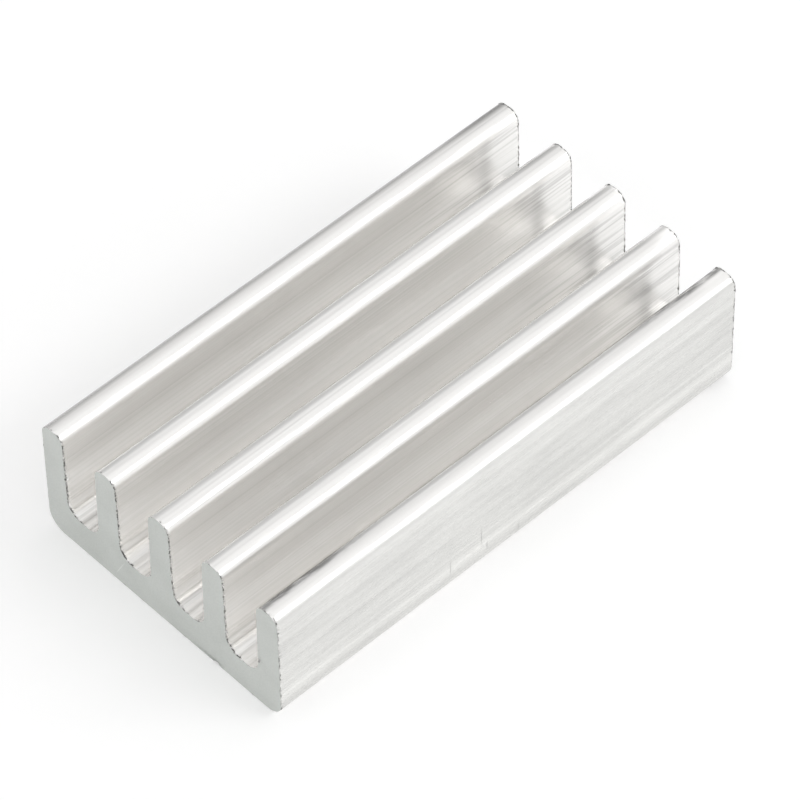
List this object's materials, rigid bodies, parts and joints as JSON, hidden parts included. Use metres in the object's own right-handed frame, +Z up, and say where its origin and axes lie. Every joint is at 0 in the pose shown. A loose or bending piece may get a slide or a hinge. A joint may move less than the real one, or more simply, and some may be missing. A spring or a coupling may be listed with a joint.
{
  "type": "extruded heat sink",
  "caption": "Small rectangular heat sink sawn from a finned bar: a thick base with a row of upright, slightly tapered fins and round-bottomed channels between them.",
  "frame": {"origin": "centre of the flat mounting face under the base", "axes": "+X across the fins, +Y along the length of the bar, +Z up from the mounting face to the fin tips"},
  "size_m": [0.011, 0.02, 0.005],
  "materials": {
    "aluminium": "bare mill finish, with fine lines along the length and dull sawn ends"
  },
  "bodies": {
    "root": {"heat_sink": "aluminium"}
  },
  "joints": []
}
